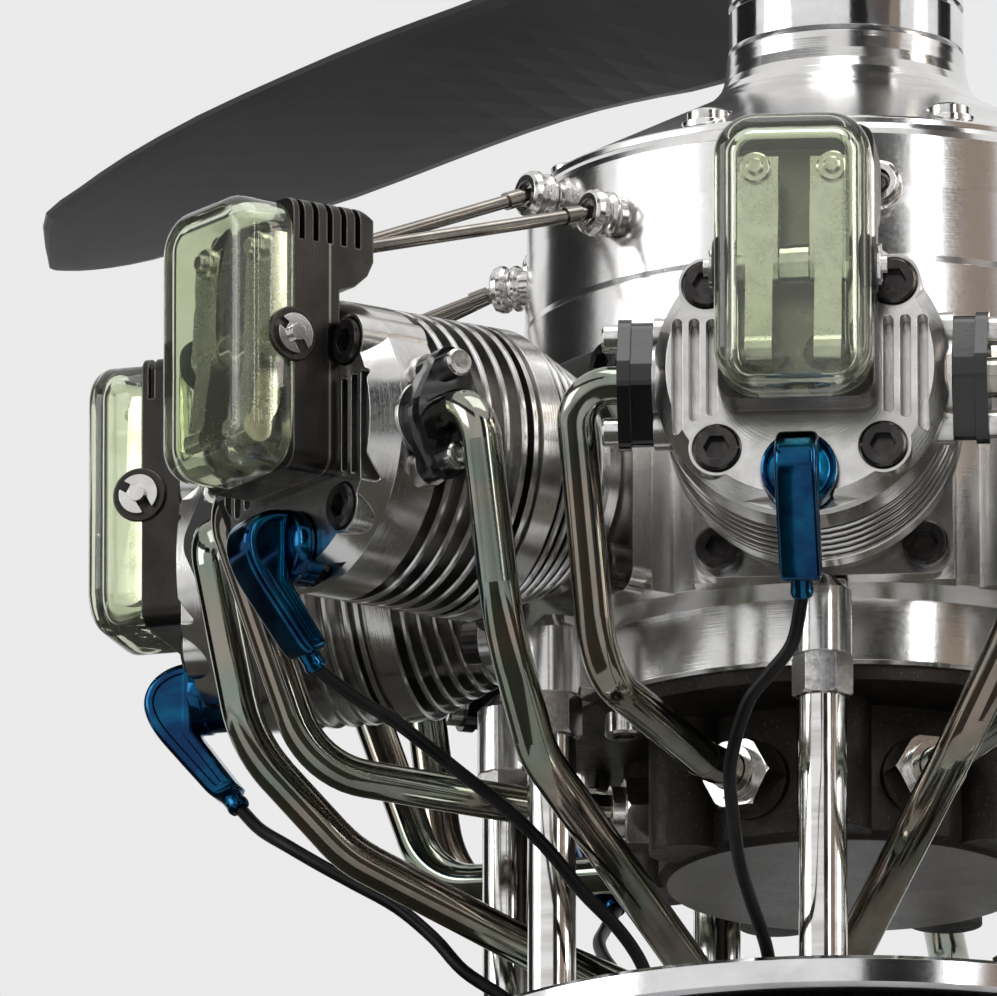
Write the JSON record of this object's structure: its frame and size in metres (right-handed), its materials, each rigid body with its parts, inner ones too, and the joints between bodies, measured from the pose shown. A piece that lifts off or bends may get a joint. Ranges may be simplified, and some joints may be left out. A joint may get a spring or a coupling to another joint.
{
  "type": "radial aircraft engine",
  "caption": "Radial aircraft engine with finned cylinders, translucent rocker covers, bent steel pipes, a propeller and a round mounting ring on standoff rods.",
  "frame": {"origin": "centre of the mounting ring's underside, on the crankshaft axis", "axes": "+Z along the crankshaft towards the propeller; -Y towards the first cylinder"},
  "size_m": [0.4106, 0.5626, 0.306],
  "materials": {
    "polished_steel": "polished",
    "tinted_steel": "polished, with faint heat colours",
    "dark_steel": "satin",
    "cast_alloy": "machined, bright",
    "dark_cast": "dark bronze, satin",
    "black_oxide": "black, semi-gloss",
    "clear_resin": "translucent, pale yellow green",
    "blue_caps": "glossy metallic blue",
    "lead_rubber": "satin",
    "propeller_grey": "matte charcoal"
  },
  "bodies": {
    "engine": {"mount_ring": "polished_steel", "standoff_rods": "polished_steel", "standoff_nuts": "polished_steel", "crankcase": "cast_alloy", "cam_case": "cast_alloy", "nose_cover": "cast_alloy", "silver_screws": "polished_steel", "black_screws": "black_oxide", "main_bearings": "polished_steel", "cylinders": "cast_alloy", "heads": "cast_alloy", "rocker_boxes": "dark_cast", "rocker_covers": "clear_resin", "rocker_pins": "polished_steel", "port_flanges": "black_oxide", "exhaust_pipes": "tinted_steel", "intake_pipes": "tinted_steel", "gland_nuts": "dark_cast", "induction_housing": "dark_cast", "spark_plugs": "polished_steel", "plug_caps": "blue_caps", "ignition_leads": "lead_rubber", "tappet_guides": "polished_steel", "pushrods": "dark_steel", "valve_springs": "dark_steel", "pistons": "cast_alloy"},
    "crank": {"crankshaft": "polished_steel", "prop_driver": "polished_steel", "propeller": "propeller_grey", "prop_fasteners": "polished_steel"},
    "layshaft": {"reduction_gear": "polished_steel"},
    "cam": {"cam_ring": "polished_steel"},
    "rocker_ex_0": {"rocker_ex_0": "dark_steel"},
    "valve_ex_0": {"valve_ex_0": "dark_steel"},
    "rocker_ex_1": {"rocker_ex_1": "dark_steel"},
    "valve_ex_1": {"valve_ex_1": "dark_steel"},
    "rocker_ex_2": {"rocker_ex_2": "dark_steel"},
    "valve_ex_2": {"valve_ex_2": "dark_steel"},
    "rocker_ex_3": {"rocker_ex_3": "dark_steel"},
    "valve_ex_3": {"valve_ex_3": "dark_steel"},
    "rocker_ex_4": {"rocker_ex_4": "dark_steel"},
    "valve_ex_4": {"valve_ex_4": "dark_steel"},
    "rocker_ex_5": {"rocker_ex_5": "dark_steel"},
    "valve_ex_5": {"valve_ex_5": "dark_steel"},
    "rocker_ex_6": {"rocker_ex_6": "dark_steel"},
    "valve_ex_6": {"valve_ex_6": "dark_steel"},
    "rocker_in_0": {"rocker_in_0": "dark_steel"},
    "valve_in_0": {"valve_in_0": "dark_steel"},
    "rocker_in_1": {"rocker_in_1": "dark_steel"},
    "valve_in_1": {"valve_in_1": "dark_steel"},
    "rocker_in_2": {"rocker_in_2": "dark_steel"},
    "valve_in_2": {"valve_in_2": "dark_steel"},
    "rocker_in_3": {"rocker_in_3": "dark_steel"},
    "valve_in_3": {"valve_in_3": "dark_steel"},
    "rocker_in_4": {"rocker_in_4": "dark_steel"},
    "valve_in_4": {"valve_in_4": "dark_steel"},
    "rocker_in_5": {"rocker_in_5": "dark_steel"},
    "valve_in_5": {"valve_in_5": "dark_steel"},
    "rocker_in_6": {"rocker_in_6": "dark_steel"},
    "valve_in_6": {"valve_in_6": "dark_steel"}
  },
  "joints": [
    {"name": "crank_spin", "type": "hinge", "parent": "engine", "child": "crank", "pos_m": [0, 0, 0], "axis": [0, 0, 1], "continuous": true},
    {"name": "layshaft_spin", "type": "hinge", "parent": "engine", "child": "layshaft", "pos_m": [0.036, 0, 0], "axis": [0, 0, 1], "continuous": true},
    {"name": "cam_spin", "type": "hinge", "parent": "engine", "child": "cam", "pos_m": [0, 0, 0], "axis": [0, 0, 1], "continuous": true},
    {"name": "rocker_ex_0_rock", "type": "hinge", "parent": "engine", "child": "rocker_ex_0", "pos_m": [0.0085, -0.1605, 0.1463], "axis": [1, 0, 0], "range_deg": [0, 8], "stiffness_Nm_per_rad": 1.5, "springref_deg": -5.73, "deforming": ["valve_springs"]},
    {"name": "valve_ex_0_slide", "type": "slide", "parent": "engine", "child": "valve_ex_0", "axis": [0, 1, 0], "range_m": [0, 0.003]},
    {"name": "rocker_ex_1_rock", "type": "hinge", "parent": "engine", "child": "rocker_ex_1", "pos_m": [-0.12018, -0.10672, 0.1463], "axis": [0.6235, -0.7818, 0], "range_deg": [0, 8], "stiffness_Nm_per_rad": 1.5, "springref_deg": -5.73, "deforming": ["valve_springs"]},
    {"name": "valve_ex_1_slide", "type": "slide", "parent": "engine", "child": "valve_ex_1", "axis": [0.7818, 0.6235, 0], "range_m": [0, 0.003]},
    {"name": "rocker_ex_2_rock", "type": "hinge", "parent": "engine", "child": "rocker_ex_2", "pos_m": [-0.15837, 0.02743, 0.1463], "axis": [-0.2225, -0.9749, 0], "range_deg": [0, 8], "stiffness_Nm_per_rad": 1.5, "springref_deg": -5.73, "deforming": ["valve_springs"]},
    {"name": "valve_ex_2_slide", "type": "slide", "parent": "engine", "child": "valve_ex_2", "axis": [0.9749, -0.2225, 0], "range_m": [0, 0.003]},
    {"name": "rocker_ex_3_rock", "type": "hinge", "parent": "engine", "child": "rocker_ex_3", "pos_m": [-0.0773, 0.14092, 0.1463], "axis": [-0.901, -0.4339, 0], "range_deg": [0, 8], "stiffness_Nm_per_rad": 1.5, "springref_deg": -5.73, "deforming": ["valve_springs"]},
    {"name": "valve_ex_3_slide", "type": "slide", "parent": "engine", "child": "valve_ex_3", "axis": [0.4339, -0.901, 0], "range_m": [0, 0.003]},
    {"name": "rocker_ex_4_rock", "type": "hinge", "parent": "engine", "child": "rocker_ex_4", "pos_m": [0.06198, 0.14829, 0.1463], "axis": [-0.901, 0.4339, 0], "range_deg": [0, 8], "stiffness_Nm_per_rad": 1.5, "springref_deg": -5.73, "deforming": ["valve_springs"]},
    {"name": "valve_ex_4_slide", "type": "slide", "parent": "engine", "child": "valve_ex_4", "axis": [-0.4339, -0.901, 0], "range_m": [0, 0.003]},
    {"name": "rocker_ex_5_rock", "type": "hinge", "parent": "engine", "child": "rocker_ex_5", "pos_m": [0.15459, 0.044, 0.1463], "axis": [-0.2225, 0.9749, 0], "range_deg": [0, 8], "stiffness_Nm_per_rad": 1.5, "springref_deg": -5.73, "deforming": ["valve_springs"]},
    {"name": "valve_ex_5_slide", "type": "slide", "parent": "engine", "child": "valve_ex_5", "axis": [-0.9749, -0.2225, 0], "range_m": [0, 0.003]},
    {"name": "rocker_ex_6_rock", "type": "hinge", "parent": "engine", "child": "rocker_ex_6", "pos_m": [0.13078, -0.09342, 0.1463], "axis": [0.6235, 0.7818, 0], "range_deg": [0, 8], "stiffness_Nm_per_rad": 1.5, "springref_deg": -5.73, "deforming": ["valve_springs"]},
    {"name": "valve_ex_6_slide", "type": "slide", "parent": "engine", "child": "valve_ex_6", "axis": [-0.7818, 0.6235, 0], "range_m": [0, 0.003]},
    {"name": "rocker_in_0_rock", "type": "hinge", "parent": "engine", "child": "rocker_in_0", "pos_m": [-0.0085, -0.1605, 0.1463], "axis": [1, 0, 0], "range_deg": [0, 8], "stiffness_Nm_per_rad": 1.5, "springref_deg": -5.73, "deforming": ["valve_springs"]},
    {"name": "valve_in_0_slide", "type": "slide", "parent": "engine", "child": "valve_in_0", "axis": [0, 1, 0], "range_m": [0, 0.003]},
    {"name": "rocker_in_1_rock", "type": "hinge", "parent": "engine", "child": "rocker_in_1", "pos_m": [-0.13078, -0.09342, 0.1463], "axis": [0.6235, -0.7818, 0], "range_deg": [0, 8], "stiffness_Nm_per_rad": 1.5, "springref_deg": -5.73, "deforming": ["valve_springs"]},
    {"name": "valve_in_1_slide", "type": "slide", "parent": "engine", "child": "valve_in_1", "axis": [0.7818, 0.6235, 0], "range_m": [0, 0.003]},
    {"name": "rocker_in_2_rock", "type": "hinge", "parent": "engine", "child": "rocker_in_2", "pos_m": [-0.15459, 0.044, 0.1463], "axis": [-0.2225, -0.9749, 0], "range_deg": [0, 8], "stiffness_Nm_per_rad": 1.5, "springref_deg": -5.73, "deforming": ["valve_springs"]},
    {"name": "valve_in_2_slide", "type": "slide", "parent": "engine", "child": "valve_in_2", "axis": [0.9749, -0.2225, 0], "range_m": [0, 0.003]},
    {"name": "rocker_in_3_rock", "type": "hinge", "parent": "engine", "child": "rocker_in_3", "pos_m": [-0.06198, 0.14829, 0.1463], "axis": [-0.901, -0.4339, 0], "range_deg": [0, 8], "stiffness_Nm_per_rad": 1.5, "springref_deg": -5.73, "deforming": ["valve_springs"]},
    {"name": "valve_in_3_slide", "type": "slide", "parent": "engine", "child": "valve_in_3", "axis": [0.4339, -0.901, 0], "range_m": [0, 0.003]},
    {"name": "rocker_in_4_rock", "type": "hinge", "parent": "engine", "child": "rocker_in_4", "pos_m": [0.0773, 0.14092, 0.1463], "axis": [-0.901, 0.4339, 0], "range_deg": [0, 8], "stiffness_Nm_per_rad": 1.5, "springref_deg": -5.73, "deforming": ["valve_springs"]},
    {"name": "valve_in_4_slide", "type": "slide", "parent": "engine", "child": "valve_in_4", "axis": [-0.4339, -0.901, 0], "range_m": [0, 0.003]},
    {"name": "rocker_in_5_rock", "type": "hinge", "parent": "engine", "child": "rocker_in_5", "pos_m": [0.15837, 0.02743, 0.1463], "axis": [-0.2225, 0.9749, 0], "range_deg": [0, 8], "stiffness_Nm_per_rad": 1.5, "springref_deg": -5.73, "deforming": ["valve_springs"]},
    {"name": "valve_in_5_slide", "type": "slide", "parent": "engine", "child": "valve_in_5", "axis": [-0.9749, -0.2225, 0], "range_m": [0, 0.003]},
    {"name": "rocker_in_6_rock", "type": "hinge", "parent": "engine", "child": "rocker_in_6", "pos_m": [0.12018, -0.10672, 0.1463], "axis": [0.6235, 0.7818, 0], "range_deg": [0, 8], "stiffness_Nm_per_rad": 1.5, "springref_deg": -5.73, "deforming": ["valve_springs"]},
    {"name": "valve_in_6_slide", "type": "slide", "parent": "engine", "child": "valve_in_6", "axis": [-0.7818, 0.6235, 0], "range_m": [0, 0.003]}
  ],
  "couplings": [
    {"joint": "layshaft_spin", "follows": "crank_spin", "ratio": -0.5},
    {"joint": "cam_spin", "follows": "crank_spin", "ratio": -0.16667},
    {"joint": "valve_ex_0_slide", "follows": "rocker_ex_0_rock", "m_per_rad": 0.0209},
    {"joint": "valve_ex_1_slide", "follows": "rocker_ex_1_rock", "m_per_rad": 0.0209},
    {"joint": "valve_ex_2_slide", "follows": "rocker_ex_2_rock", "m_per_rad": 0.0209},
    {"joint": "valve_ex_3_slide", "follows": "rocker_ex_3_rock", "m_per_rad": 0.0209},
    {"joint": "valve_ex_4_slide", "follows": "rocker_ex_4_rock", "m_per_rad": 0.0209},
    {"joint": "valve_ex_5_slide", "follows": "rocker_ex_5_rock", "m_per_rad": 0.0209},
    {"joint": "valve_ex_6_slide", "follows": "rocker_ex_6_rock", "m_per_rad": 0.0209},
    {"joint": "valve_in_0_slide", "follows": "rocker_in_0_rock", "m_per_rad": 0.0209},
    {"joint": "valve_in_1_slide", "follows": "rocker_in_1_rock", "m_per_rad": 0.0209},
    {"joint": "valve_in_2_slide", "follows": "rocker_in_2_rock", "m_per_rad": 0.0209},
    {"joint": "valve_in_3_slide", "follows": "rocker_in_3_rock", "m_per_rad": 0.0209},
    {"joint": "valve_in_4_slide", "follows": "rocker_in_4_rock", "m_per_rad": 0.0209},
    {"joint": "valve_in_5_slide", "follows": "rocker_in_5_rock", "m_per_rad": 0.0209},
    {"joint": "valve_in_6_slide", "follows": "rocker_in_6_rock", "m_per_rad": 0.0209}
  ]
}
